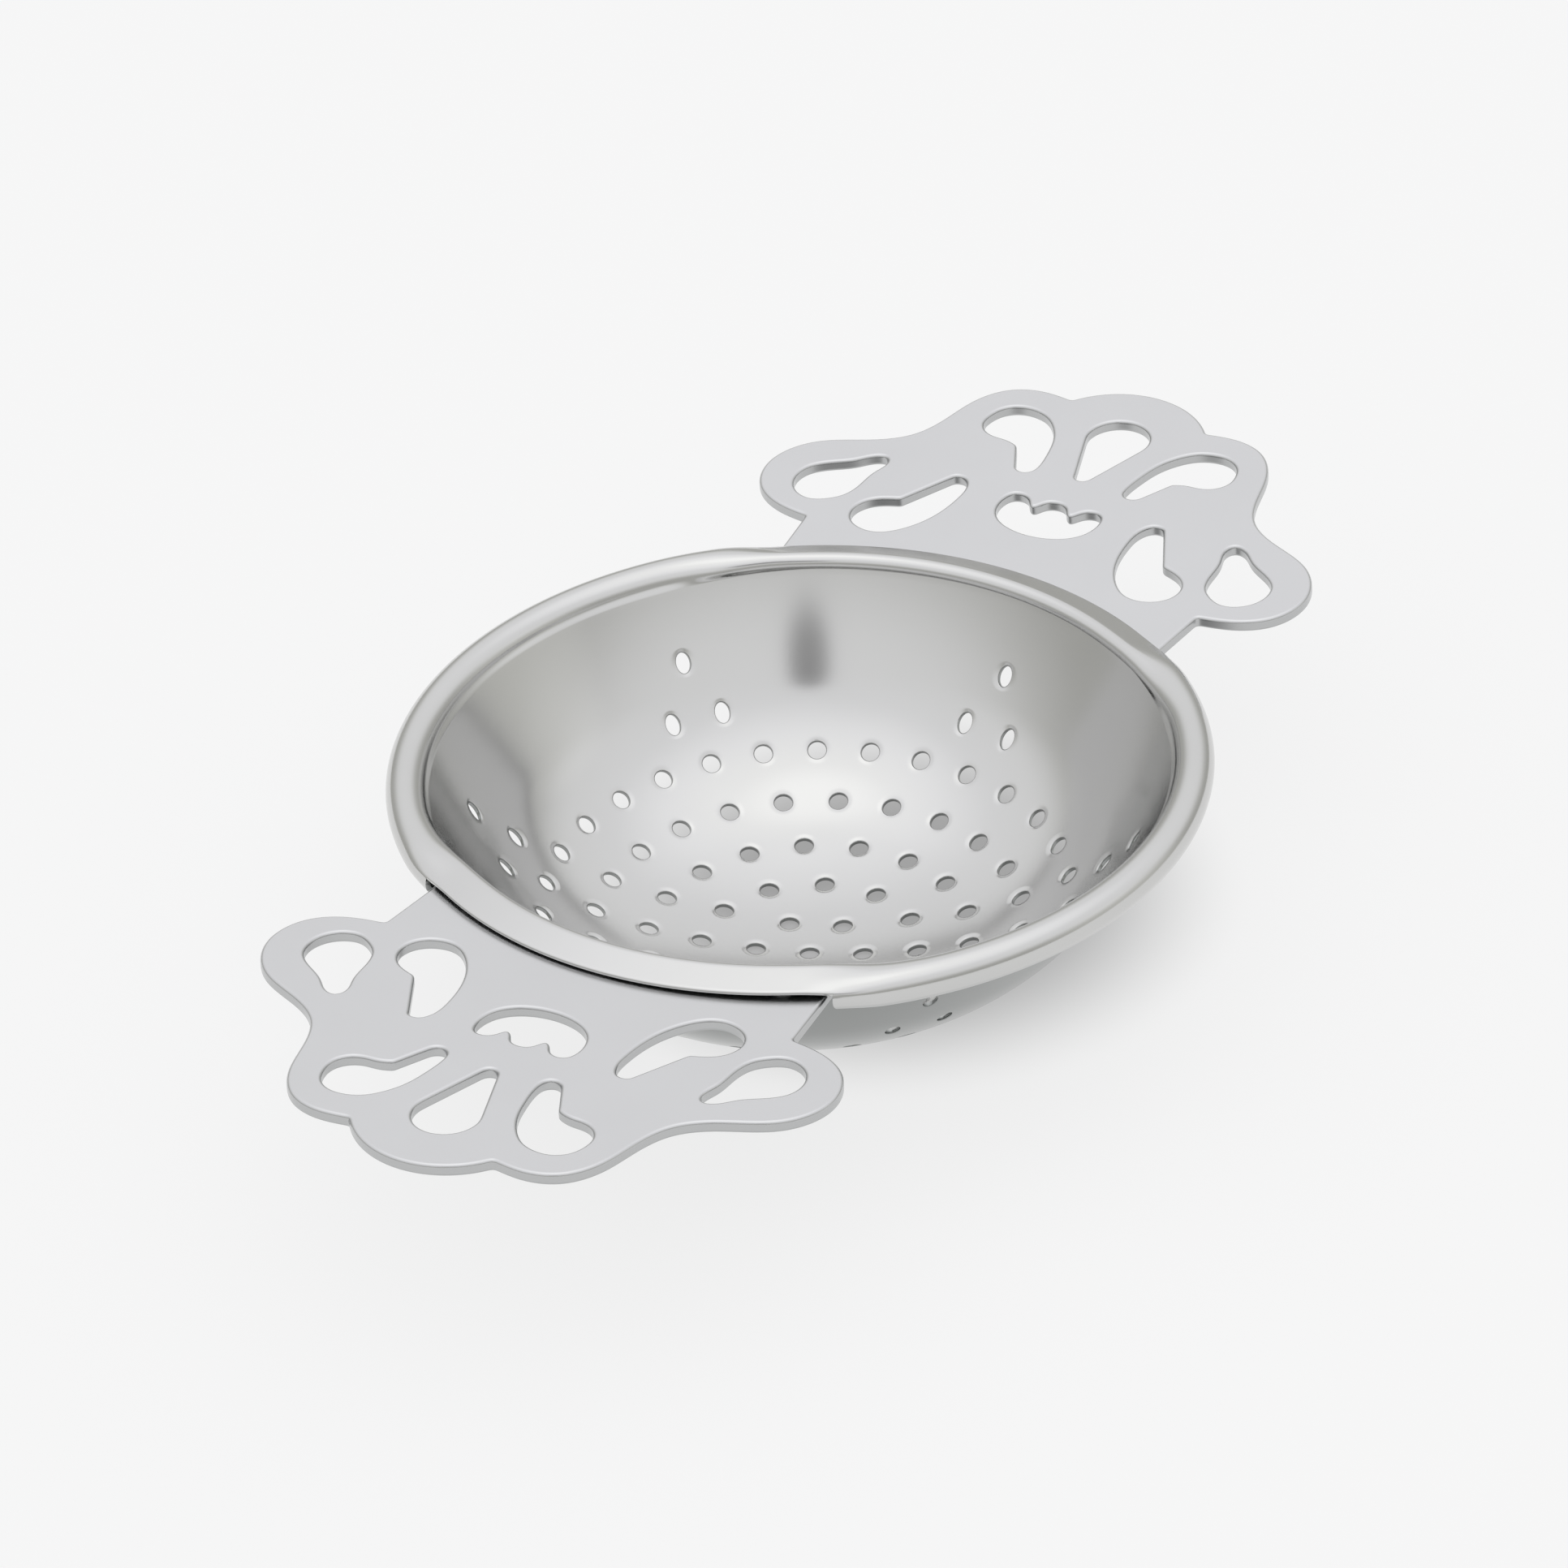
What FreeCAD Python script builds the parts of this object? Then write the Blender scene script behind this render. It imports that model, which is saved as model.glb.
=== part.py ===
"""Tea strainer: a perforated stainless bowl with a rolled rim and two openwork handles.

Frame: millimetres, +Z up. The origin is the lowest point of the bowl, on the bowl's axis.
The handles lie along +X and -X. Each handle is a flat stamped plate that slides into a notch
in the rolled rim, under the rim's lip, and is tacked to the lip by small welds.
"""

import FreeCAD, Part
import math
import os

from FreeCAD import Vector

# Bowl: a shallow dish, a rounder knuckle and a straight wall up to the rolled rim.
SHEET = 0.5                  # thickness of the bowl's sheet
DISH_RADIUS = 58.0           # inner radius of the dish at the bottom
DISH_ANGLE = 16.0            # the dish ends at this slope, degrees
WALL_ANGLE = 60.0            # slope of the straight wall, degrees
BEAD_RADIUS = 1.85           # outer radius of the rolled rim's section
BEAD_CENTRE_R = 36.1         # distance of the section's centre from the axis
BEAD_CENTRE_Z = 20.75
CURL_END_ANGLE = -155.0      # where the sheet's rolled edge stops, round the section
LIP_END_ANGLE = 28.0         # where the lip stops over a handle, round the section

# Perforations: rings about a central hole, then a small triangle of holes at six points.
HOLE_DIAMETER = 1.7
RING_RADII = (5.0, 10.05, 14.95, 19.8, 24.2)
RING_STEP = 6                # each ring has this many more holes than the last
TIP_COUNT = 6
TIP_TURN = -8.8              # direction of the first of the six points, degrees from +X
TIP_PAIR_RADIUS = 27.45
TIP_PAIR_SPREAD = 5.2        # the pair stands this many degrees either side of the point
TIP_RADIUS = 30.5

# Handles: flat plates that rise slightly towards their ends.
PLATE = 1.2
PLATE_TOP_Z = 21.2           # height of the top face where it crosses HINGE_LINE_U
HINGE_LINE_U = 40.0
PLATE_SLOPE = 1.9            # degrees
PLATE_ROUND = 0.3            # rounding of the plate's long edges
PLATE_INNER_R = 35.0         # the plate's inner end follows the outside of the bowl
NECK_TAPER = 0.1             # the neck narrows from the side lobes to the bowl by this slope
NECK_ROUND = 0.5             # at the corner between the neck and a side lobe
NOTCH_CLEARANCE = 0.25       # between the neck and the cut ends of the curl

# Welds between the lip and the plate.
TACK_RADIUS = 0.7
TACK_CENTRE_R = 36.2
TACK_TOP_Z = 22.15           # inside the lip's sheet
TACK_ANGLES = (-27.0, 0.0, 27.0)

# Half of the handle's edge, from the neck's end round the side lobe and the outer lobe to the cusp.
# u runs out along the handle from the bowl's axis, v runs across it.
SIDE_EDGE = ((38.15, 21.0), (38.75, 24.2), (40.8, 27.5), (45.3, 28.9), (49.8, 26.5), (52.5, 21.4),
             (54.7, 18.6), (58.5, 17.0), (62.7, 15.85), (65.6, 13.6), (66.6, 10.6))
CUSP = (66.3, 7.3)
CUSP_ROUND = 0.4
TIP_U = 70.0

# Openings of one handle, on the +v side. The drops are two circles and their tangents.
SIDE_DROP = ((44.0, 22.1), 3.0, (49.6, 19.0), 0.55)
CENTRE_DROP = ((62.0, 0.0), 3.05, (54.7, 0.0), 0.65)
INNER_KIDNEY = ((41.1, 17.4), (43.3, 16.4), (44.4, 14.4), (46.2, 12.6), (48.3, 11.65), (49.8, 10.9),
                (49.6, 9.95), (46.6, 9.3), (43.0, 9.9), (40.1, 11.45), (38.4, 13.7), (39.0, 16.3))
OUTER_KIDNEY = ((53.25, 5.95), (54.3, 6.95), (56.2, 8.1), (57.4, 9.8), (57.85, 11.7), (59.2, 13.1),
                (61.3, 13.2), (63.0, 11.9), (63.4, 9.9), (61.8, 7.3), (58.6, 5.4), (55.3, 4.85),
                (53.55, 5.05))
COMB_HALF = ((44.45, 2.5), (45.8, 4.35), (47.8, 5.05), (49.35, 4.75), (49.5, 3.65), (48.5, 2.75),
             (48.1, 2.1), (48.5, 1.45), (49.35, 0.8))
COMB_BACK_U = 43.95
COMB_FRONT_U = 49.65

REACH = 100.0                # longer than anything here, for cutting tools
TOLERANCE = 0.01             # for picking edges by their place


def polar(centre, radius, degrees):
    """A point in the XZ plane at an angle round a centre given as (x, z)."""
    angle = math.radians(degrees)
    return Vector(centre[0] + radius * math.cos(angle), 0, centre[1] + radius * math.sin(angle))


def arc_xz(centre, radius, start, end):
    """The arc from one angle to another round a centre, in the XZ plane."""
    middle = (start + end) / 2
    return Part.Arc(polar(centre, radius, start), polar(centre, radius, middle),
                    polar(centre, radius, end)).toShape()


def line(start, end):
    return Part.LineSegment(start, end).toShape()


def knuckle():
    """Centre and inner radius of the arc that joins the dish to a wall tangent to the bead."""
    wall = math.radians(WALL_ANGLE)
    dish = math.radians(DISH_ANGLE)
    wall_offset = BEAD_CENTRE_R * math.sin(wall) - BEAD_CENTRE_Z * math.cos(wall) - BEAD_RADIUS
    dish_centre_z = SHEET + DISH_RADIUS
    share = math.sin(dish) * math.sin(wall) + math.cos(dish) * math.cos(wall)
    radius = (wall_offset + dish_centre_z * math.cos(wall) - DISH_RADIUS * share) / (1 - share)
    reach = DISH_RADIUS - radius
    centre = (reach * math.sin(dish), dish_centre_z - reach * math.cos(dish))
    return centre, radius


def inner_surface(radius):
    """Height and slope in degrees of the bowl's inner surface at a distance from the axis."""
    centre, knuckle_radius = knuckle()
    if radius <= DISH_RADIUS * math.sin(math.radians(DISH_ANGLE)):
        slope = math.asin(radius / DISH_RADIUS)
        return SHEET + DISH_RADIUS * (1 - math.cos(slope)), math.degrees(slope)
    slope = math.asin(min(1.0, (radius - centre[0]) / knuckle_radius))
    slope = min(slope, math.radians(WALL_ANGLE))
    knuckle_end = centre[0] + knuckle_radius * math.sin(slope)
    height = centre[1] - knuckle_radius * math.cos(slope)
    height += (radius - knuckle_end) * math.tan(slope)
    return height, math.degrees(slope)


def bowl_section():
    """The sheet's section from the axis up the wall and over the bead to the lip's edge."""
    bead = (BEAD_CENTRE_R, BEAD_CENTRE_Z)
    dish = (0.0, SHEET + DISH_RADIUS)
    centre, radius = knuckle()
    wall_start = WALL_ANGLE - 90
    bead_start = WALL_ANGLE + 90
    bead_inside = BEAD_RADIUS - SHEET
    edges = []
    for dish_radius, knuckle_radius, bead_radius in (
            (DISH_RADIUS, radius, BEAD_RADIUS),
            (DISH_RADIUS + SHEET, radius + SHEET, bead_inside)):
        edges.append(arc_xz(dish, dish_radius, -90, DISH_ANGLE - 90))
        edges.append(arc_xz(centre, knuckle_radius, DISH_ANGLE - 90, wall_start))
        edges.append(line(polar(centre, knuckle_radius, wall_start),
                          polar(bead, bead_radius, bead_start)))
        edges.append(arc_xz(bead, bead_radius, bead_start, LIP_END_ANGLE))
    edges.append(line(polar(bead, BEAD_RADIUS, LIP_END_ANGLE), polar(bead, bead_inside, LIP_END_ANGLE)))
    edges.append(line(Vector(0, 0, 0), Vector(0, 0, SHEET)))
    return Part.Face(Part.Wire(Part.__sortEdges__(edges)))


def curl_section():
    """The rest of the rolled rim's section, from the lip's edge round to the sheet's end."""
    bead = (BEAD_CENTRE_R, BEAD_CENTRE_Z)
    inside = BEAD_RADIUS - SHEET
    edges = [arc_xz(bead, BEAD_RADIUS, LIP_END_ANGLE, CURL_END_ANGLE),
             line(polar(bead, BEAD_RADIUS, CURL_END_ANGLE), polar(bead, inside, CURL_END_ANGLE)),
             arc_xz(bead, inside, CURL_END_ANGLE, LIP_END_ANGLE),
             line(polar(bead, inside, LIP_END_ANGLE), polar(bead, BEAD_RADIUS, LIP_END_ANGLE))]
    return Part.Face(Part.Wire(edges))


def neck_half(u):
    """Half width of the neck at a distance along the handle."""
    end_u, end_v = SIDE_EDGE[0]
    return end_v - NECK_TAPER * (end_u - u)


def hole_places():
    """Distance from the axis and direction in degrees of every perforation."""
    places = [(0.0, 0.0)]
    for number, radius in enumerate(RING_RADII, start=1):
        count = number * RING_STEP
        for index in range(count):
            places.append((radius, TIP_TURN + 360.0 * index / count))
    for index in range(TIP_COUNT):
        tip = TIP_TURN + 360.0 * index / TIP_COUNT
        places.append((TIP_PAIR_RADIUS, tip - TIP_PAIR_SPREAD))
        places.append((TIP_PAIR_RADIUS, tip + TIP_PAIR_SPREAD))
        places.append((TIP_RADIUS, tip))
    return places


def hole_tool(radius, degrees):
    """A cylinder square to the sheet at one perforation."""
    height, slope = inner_surface(radius)
    turn = math.radians(degrees)
    tilt = math.radians(slope)
    centre = Vector(radius * math.cos(turn), radius * math.sin(turn), height)
    outward = Vector(math.sin(tilt) * math.cos(turn), math.sin(tilt) * math.sin(turn), -math.cos(tilt))
    length = 4 * SHEET
    return Part.makeCylinder(HOLE_DIAMETER / 2, length, centre - outward * (length / 2), outward)


def strainer_bowl():
    """The perforated bowl with its rolled rim, notched for the two handles."""
    axis = (Vector(0, 0, 0), Vector(0, 0, 1))
    bowl = bowl_section().revolve(*axis, 360)
    bowl = bowl.cut([hole_tool(radius, degrees) for radius, degrees in hole_places()])
    curl = curl_section().revolve(*axis, 360)
    notch = neck_half(BEAD_CENTRE_R) + NOTCH_CLEARANCE
    curl = curl.cut(Part.makeBox(2 * REACH, 2 * notch, REACH, Vector(-REACH, -notch, 0)))
    return bowl.fuse(curl)


def spline(points, closed=False):
    """A smooth curve through points given as (u, v)."""
    curve = Part.BSplineCurve()
    curve.interpolate([Vector(u, v, 0) for u, v in points], PeriodicFlag=closed)
    return curve.toShape()


def drop(body, body_radius, tail, tail_radius):
    """A wire round two circles and the two lines that touch both."""
    along = math.atan2(tail[1] - body[1], tail[0] - body[0])
    distance = math.hypot(tail[0] - body[0], tail[1] - body[1])
    spread = math.acos((body_radius - tail_radius) / distance)

    def rim(centre, radius, angle):
        return Vector(centre[0] + radius * math.cos(angle), centre[1] + radius * math.sin(angle), 0)

    upper = (rim(body, body_radius, along + spread), rim(tail, tail_radius, along + spread))
    lower = (rim(body, body_radius, along - spread), rim(tail, tail_radius, along - spread))
    edges = [Part.Arc(lower[0], rim(body, body_radius, along + math.pi), upper[0]).toShape(),
             line(upper[0], upper[1]),
             Part.Arc(upper[1], rim(tail, tail_radius, along), lower[1]).toShape(),
             line(lower[1], lower[0])]
    return Part.Wire(edges)


def across(points):
    """The same points on the other side of the handle, in the opposite order."""
    return tuple((u, -v) for u, v in reversed(points))


def opening_wires():
    """The eight openings of one handle."""
    wires = [drop(*CENTRE_DROP)]
    comb = ((COMB_BACK_U, 0.0),) + COMB_HALF + ((COMB_FRONT_U, 0.0),) + across(COMB_HALF)
    wires.append(Part.Wire([spline(comb, closed=True)]))
    for side in (1, -1):
        body, body_radius, tail, tail_radius = SIDE_DROP
        wires.append(drop((body[0], side * body[1]), body_radius, (tail[0], side * tail[1]), tail_radius))
        for kidney in (INNER_KIDNEY, OUTER_KIDNEY):
            points = kidney if side > 0 else across(kidney)
            wires.append(Part.Wire([spline(points, closed=True)]))
    return wires


def outline_wire():
    """The edge of one handle, symmetric about u."""
    side = SIDE_EDGE + (CUSP,)
    mirror_side = across(side)
    inner = Vector(0, neck_half(0), 0)
    mirror_inner = Vector(0, -neck_half(0), 0)
    tip = Part.Arc(Vector(*CUSP, 0), Vector(TIP_U, 0, 0), Vector(*mirror_side[0], 0)).toShape()
    edges = [line(inner, Vector(*side[0], 0)), spline(side), tip, spline(mirror_side),
             line(Vector(*mirror_side[-1], 0), mirror_inner), line(mirror_inner, inner)]
    return Part.Wire(edges)


def upright_edges(plate, u):
    """The plate's edges that stand upright at a distance along the handle."""
    return [edge for edge in plate.Edges
            if edge.BoundBox.ZLength > PLATE / 2 and abs(edge.CenterOfMass.x - u) < TOLERANCE]


def rounded_edges(plate):
    """The plate's edges in its top and bottom faces, apart from the inner end."""
    return [edge for edge in plate.Edges
            if edge.BoundBox.ZLength < TOLERANCE and edge.BoundBox.XMax > PLATE_INNER_R + TOLERANCE]


def flat_handle():
    """One handle lying flat, with its top face at z = 0."""
    face = Part.makeFace([outline_wire()] + opening_wires(), "Part::FaceMakerBullseye")
    plate = face.extrude(Vector(0, 0, PLATE))
    plate.translate(Vector(0, 0, -PLATE))
    plate = plate.cut(Part.makeCylinder(PLATE_INNER_R, 3 * PLATE, Vector(0, 0, -2 * PLATE)))
    plate = plate.makeFillet(CUSP_ROUND, upright_edges(plate, CUSP[0]))
    plate = plate.makeFillet(NECK_ROUND, upright_edges(plate, SIDE_EDGE[0][0]))
    return plate.makeFillet(PLATE_ROUND, rounded_edges(plate))


def placed_handle(side):
    """The handle on the +X side (side = 1) or the -X side (side = -1)."""
    handle = flat_handle()
    handle.rotate(Vector(HINGE_LINE_U, 0, 0), Vector(0, 1, 0), -PLATE_SLOPE)
    handle.translate(Vector(0, 0, PLATE_TOP_Z))
    if side < 0:
        handle.rotate(Vector(0, 0, 0), Vector(0, 0, 1), 180)
    return handle


def weld_tacks(side, bowl, handle):
    """The welds that fill the gap between the lip and one handle, as separate solids."""
    tacks = []
    for degrees in TACK_ANGLES:
        turn = math.radians(degrees if side > 0 else degrees + 180)
        foot_z = PLATE_TOP_Z - PLATE / 2
        foot = Vector(TACK_CENTRE_R * math.cos(turn), TACK_CENTRE_R * math.sin(turn), foot_z)
        column = Part.makeCylinder(TACK_RADIUS, TACK_TOP_Z - foot_z, foot)
        tacks += column.cut([bowl, handle]).Solids
    return Part.makeCompound(tacks)


def main():
    bowl = strainer_bowl()
    parts = {"strainer_bowl": bowl}
    for name, side in (("right", 1), ("left", -1)):
        handle = placed_handle(side)
        parts[name + "_handle"] = handle
        parts[name + "_weld_tacks"] = weld_tacks(side, bowl, handle)
    os.makedirs("parts", exist_ok=True)
    for name, shape in parts.items():
        shape.exportStep("parts/" + name + ".step")
        print(name, "solids", len(shape.Solids), "valid", shape.isValid(),
              "volume", round(shape.Volume, 1), "mm3", shape.BoundBox)


main()
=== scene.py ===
"""Looks of the perforated tea strainer: its bowl, its two pierced handles and their welds."""

import math

import bpy
import numpy as np
from mathutils import Matrix, Vector
from mathutils.geometry import delaunay_2d_cdt


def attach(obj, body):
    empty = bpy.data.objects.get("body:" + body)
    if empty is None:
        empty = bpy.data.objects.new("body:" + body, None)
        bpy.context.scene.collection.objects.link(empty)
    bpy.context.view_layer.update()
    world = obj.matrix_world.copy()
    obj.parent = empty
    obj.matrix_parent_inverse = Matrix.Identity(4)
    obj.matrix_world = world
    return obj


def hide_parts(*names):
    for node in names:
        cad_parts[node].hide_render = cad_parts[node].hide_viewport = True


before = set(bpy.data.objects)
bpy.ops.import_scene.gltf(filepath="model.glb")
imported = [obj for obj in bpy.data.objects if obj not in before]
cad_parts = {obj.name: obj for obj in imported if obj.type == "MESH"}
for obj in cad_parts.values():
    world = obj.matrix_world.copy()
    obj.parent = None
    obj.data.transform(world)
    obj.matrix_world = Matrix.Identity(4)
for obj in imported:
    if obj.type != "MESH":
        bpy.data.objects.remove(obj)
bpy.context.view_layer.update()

MM = 0.001

# ---------------------------------------------------------------- dimensions, in mm

SHEET = 0.5                  # bowl sheet

# Inner surface of the bowl from the axis up: the radius of each arc and the slope, in degrees, at
# its end.
DISH, KNUCKLE, WALL = (58.0, 16.0), (23.3, 56.0), (90.0, 66.0)
PERFORATED_R = 32.0          # the holes lie inside this radius

# Rolled rim. At the handles it is a flat lip: a knuckle from the wall, then a straight slope down
# to its edge (r, z). Between them the lip curls on into a full bead. Of each oval, r and z are the
# centre, a and b the half width and half height. Angles, in degrees, fall from the wall over the
# top to the end of the curl.
LIP = dict(r=34.35, z=21.6, a=0.95, b=0.97, start=181.0, knuckle=79.0)
LIP_EDGE = (37.05, 21.72)
LIP_CURL = dict(a=1.15, b=1.3, start=60.0, end=-95.0)
BEAD = dict(r=36.1, z=20.8, a=1.8, b=1.76, start=166.0, edge=18.0, end=-150.0)
PAINTED_SHADE_ABOVE, PAINTED_SHADE_BELOW = -0.4, -0.9   # upward shares of the normal between which the painted shade comes in on outward faces
CREASE = 0.7                 # height over which the wall bends into the rim
# Degrees from a handle over which the lip swells into the bead: its inner side, then its edge.
INNER_FLARE, OUTER_FLARE = (24.0, 52.0), (30.0, 43.0)
NOTCH_HALF = 21.05           # half width of the gap in the curl that holds a handle
NOTCH_TURN = 36.0            # columns of the rim mesh up to this many degrees lie in the gap

# Perforations: rings about a central hole, then small triangles of holes: a pair and an apex.
HOLE_RADIUS = 0.85
HOLE_ROUND = 0.16            # rolled-over edge on the inside of the bowl
HOLE_BREAK = 0.08            # edge on the outside
HOLE_DIP = 0.05              # how far the sheet is drawn in round a hole
HOLE_REACH = 1.45            # radius of the drawn-in area
HOLE_DRAWN = (24.5, 28.0)    # radii between which the holes become drawn out
HOLE_LONG, HOLE_NARROW = 1.18, 0.8    # up the wall and along it, once drawn out
RING_RADII = (5.0, 10.05, 14.95, 19.8, 24.2)
RING_STEP = 6                # holes in the first ring; every further ring has as many more
TRIANGLE_COUNT = 6
PATTERN_TURN = -8.8          # degrees from the handles to the first hole of each ring
PAIR_RADIUS = 27.45
PAIR_SPREAD = 5.2            # degrees from the apex to each hole of the pair
APEX_RADIUS = 30.5

# Handles. A point of the plate is (u, v): out from the bowl's axis and sideways.
PLATE = 1.2
PLATE_TOP_Z = 21.2           # height of the top face where u is PIVOT_U
PIVOT_U = 40.0
PLATE_SLOPE = math.radians(1.9)
PLATE_ROUND = 0.34           # radius of the edges
CUT_PAINTED_SHADE = 0.4               # share of painted shade on the stamped edges
PLATE_INNER_R = 35.0         # radius of the plate's hidden end, under the lip
NECK_INNER_U = 28.0          # about where the neck's two sides end
NECK_TAPER = 0.1             # how much each side narrows per mm inwards
# Points that a side, an opening or half of one is drawn through.
SIDE_EDGE = ((38.15, 21.0), (38.75, 24.2), (40.8, 27.5), (45.3, 28.9), (49.8, 26.5), (52.5, 21.4),
             (54.7, 18.6), (58.5, 17.0), (62.7, 15.85), (65.6, 13.6), (66.6, 10.6), (66.3, 7.3))
TIP_U = 70.0
CENTRE_DROP = ((62.0, 0.0), 3.05, (54.9, 0.0), 0.78)    # centre and radius of its body and its tail
SIDE_DROP = ((41.0, 22.0), (41.7, 24.1), (43.75, 25.2), (45.7, 24.85), (46.75, 23.9), (48.6, 21.25),
             (50.1, 19.5), (50.15, 18.8), (49.55, 18.38), (47.5, 18.72), (44.3, 19.05), (42.7, 19.6),
             (41.6, 20.7))
COMB = ((43.9, 0.0), (44.15, 1.9), (44.8, 3.4), (45.9, 4.55), (47.3, 5.1), (48.7, 5.1), (49.6, 4.65),
        (49.8, 3.75), (49.4, 2.95), (48.65, 2.45), (48.25, 2.0), (48.7, 1.5), (49.5, 1.0), (49.85, 0.0))
# A kidney's knots run from its notch round to the far end of its straight side.
INNER_KIDNEY = ((44.35, 14.1), (43.1, 16.6), (41.3, 17.42), (39.6, 16.9), (38.6, 15.5), (38.5, 13.6),
                (40.2, 11.4), (43.2, 9.85), (47.0, 9.25), (49.2, 9.55), (50.05, 10.3), (50.0, 11.25))
OUTER_KIDNEY = ((57.15, 8.4), (57.6, 9.8), (57.7, 11.2), (58.4, 12.6), (59.6, 13.25), (60.9, 13.2),
                (62.3, 12.6), (63.2, 11.3), (63.3, 9.8), (62.8, 8.3), (61.5, 6.9), (59.5, 5.75),
                (57.0, 5.1), (54.7, 4.82), (53.6, 5.1), (53.25, 5.8), (53.6, 6.6))

# Welds: radius and height, half sizes (outwards, along and upwards), and directions in degrees.
WELDS = (((35.6, 21.34), (0.5, 0.9, 0.4), (-27.0, 0.0, 27.0)),
         ((36.9, 21.2), (0.35, 0.3, 0.25), (-33.5, 33.5)))

# Mesh densities.
LENGTH_SAMPLES = 4000        # of the bowl's meridian
HOLE_SIDES = 30
HOLE_ROWS = (5, 6, 4)        # over the drawn-in area, the rolled-over edge and the outer edge
FIELD_STEP = 1.0             # spacing of the bowl's points between the holes
RIM_COLUMNS = (26, 50)       # in half a gap and in a quarter's curl
WALL_ROWS, CREASE_ROWS, CROWN_ROWS, CURL_ROWS = 7, 12, 29, 30
EDGE_ROWS = 7                # round the edge of the sheet, and round each edge of a plate
STEP = 0.16                  # spacing along a handle's edge
CORNER_SOFTENING = 1.5       # smoothing of a handle's edge, in steps
SOFTENING_REACH = 8          # steps to each side that the smoothing reads
BEAD_COLUMNS, BEAD_ROWS = 20, 12      # of each bead of weld
SAME_POINT_DIGITS = 4        # points that agree to this many digits of a mm become one
PLAN_TOLERANCE = 1e-7        # below which points of a flat plan are the same


# ---------------------------------------------------------------- meshes

def unit(vectors):
    """The vectors, each with length 1."""
    return vectors / np.maximum(np.linalg.norm(vectors, axis=-1), 1e-9)[..., None]


def eased(value, start, end):
    """A smooth rise from 0 at the start to 1 at the end."""
    share = np.clip((value - start) / (end - start), 0, 1)
    return share * share * (3 - 2 * share)


def grid_normals(points):
    """Normals of a grid of points, whose last column joins its first."""
    along = np.gradient(points, axis=0)
    across = np.roll(points, -1, axis=1) - np.roll(points, 1, axis=1)
    return np.cross(across, along)


def triangulated(loops, free):
    """Triangles over closed loops and free points in a plane."""
    edges, start = [], 0
    for loop in loops:
        edges += [(start + i, start + (i + 1) % len(loop)) for i in range(len(loop))]
        start += len(loop)
    found = delaunay_2d_cdt([Vector(p) for p in np.vstack(loops + [free])], edges, [], 0, PLAN_TOLERANCE)
    return np.array([tuple(p) for p in found[0]]), np.array(found[2])


def inside(points, loop):
    """Which points lie in a closed loop, by crossings."""
    following = np.roll(loop, -1, axis=0)
    x, y = points[:, :1], points[:, 1:]
    spans = (loop[:, 1] > y) != (following[:, 1] > y)
    rise = following[:, 1] - loop[:, 1]
    rise = np.where(rise == 0, 1, rise)
    cross = loop[:, 0] + (y - loop[:, 1]) / rise * (following[:, 0] - loop[:, 0])
    return np.count_nonzero(spans & (x < cross), axis=1) % 2 == 1


class Skin:
    """Patches of points with their own normals, joined into one mesh."""

    def __init__(self):
        self.points, self.normals, self.dullness, self.faces = [], [], [], []
        self.count = 0

    def patch(self, points, normals, faces, dull=0.0):
        """Adds points. The last argument is a share of painted shade: 0 for the plain colour, 1 for the
        darker colour painted on as shade.
        """
        self.points.append(points)
        self.normals.append(normals)
        self.dullness.append(np.broadcast_to(dull, len(points)))
        self.faces.extend(tuple(int(i) + self.count for i in face) for face in faces)
        self.count += len(points)

    def grid(self, points, normals, wrap=False, flip=False, dull=0.0):
        """A patch from arrays shaped (rows, columns, 3); wrap joins the last column to the first."""
        rows, columns = points.shape[:2]
        faces = []
        for i in range(rows - 1):
            for j in range(columns if wrap else columns - 1):
                k = (j + 1) % columns
                face = (i * columns + j, i * columns + k, (i + 1) * columns + k, (i + 1) * columns + j)
                faces.append(face[::-1] if flip else face)
        dull = np.broadcast_to(dull, points.shape[:2]).ravel()
        self.patch(points.reshape(-1, 3), normals.reshape(-1, 3), faces, dull)

    def make(self, name):
        """One object of all the patches, with their shared points joined."""
        points = np.vstack(self.points)
        normals = unit(np.vstack(self.normals))
        _, first, place = np.unique(np.round(points, SAME_POINT_DIGITS), axis=0, return_index=True,
                                    return_inverse=True)
        place = place.ravel()
        kept, corner_normals = [], []
        for face in self.faces:
            welded = []
            for corner in face:
                if place[corner] not in (place[c] for c in welded):
                    welded.append(corner)
            if len(welded) > 2:
                kept.append([int(place[c]) for c in welded])
                corner_normals.extend(normals[c] for c in welded)
        mesh = bpy.data.meshes.new(name)
        mesh.from_pydata((points[first] * MM).tolist(), [], kept)
        mesh.polygons.foreach_set("use_smooth", [True] * len(mesh.polygons))
        mesh.normals_split_custom_set([tuple(n) for n in corner_normals])
        # The share of painted shade is stored per point for the material.
        layer = mesh.attributes.new("dull", "FLOAT", "POINT")
        layer.data.foreach_set("value", np.concatenate(self.dullness)[first])
        mesh.update()
        obj = bpy.data.objects.new(name, mesh)
        bpy.context.scene.collection.objects.link(obj)
        return obj


# ---------------------------------------------------------------- bowl

ARC_RADII = np.array([radius for radius, _ in (DISH, KNUCKLE, WALL)])
ARC_SLOPES = np.radians([0.0] + [slope for _, slope in (DISH, KNUCKLE, WALL)])
ARC_LENGTHS = np.concatenate([[0.0], np.cumsum(ARC_RADII * np.diff(ARC_SLOPES))])


def meridian(length):
    """Radius, height and slope of the inner surface at a length along it from the axis."""
    slope = np.interp(length, ARC_LENGTHS, ARC_SLOPES)
    radius, height = np.zeros_like(slope), np.full_like(slope, SHEET)
    for arc_radius, start, end in zip(ARC_RADII, ARC_SLOPES, ARC_SLOPES[1:]):
        reached = np.clip(slope, start, end)
        radius += arc_radius * (np.sin(reached) - math.sin(start))
        height += arc_radius * (math.cos(start) - np.cos(reached))
    return radius, height, slope


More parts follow.
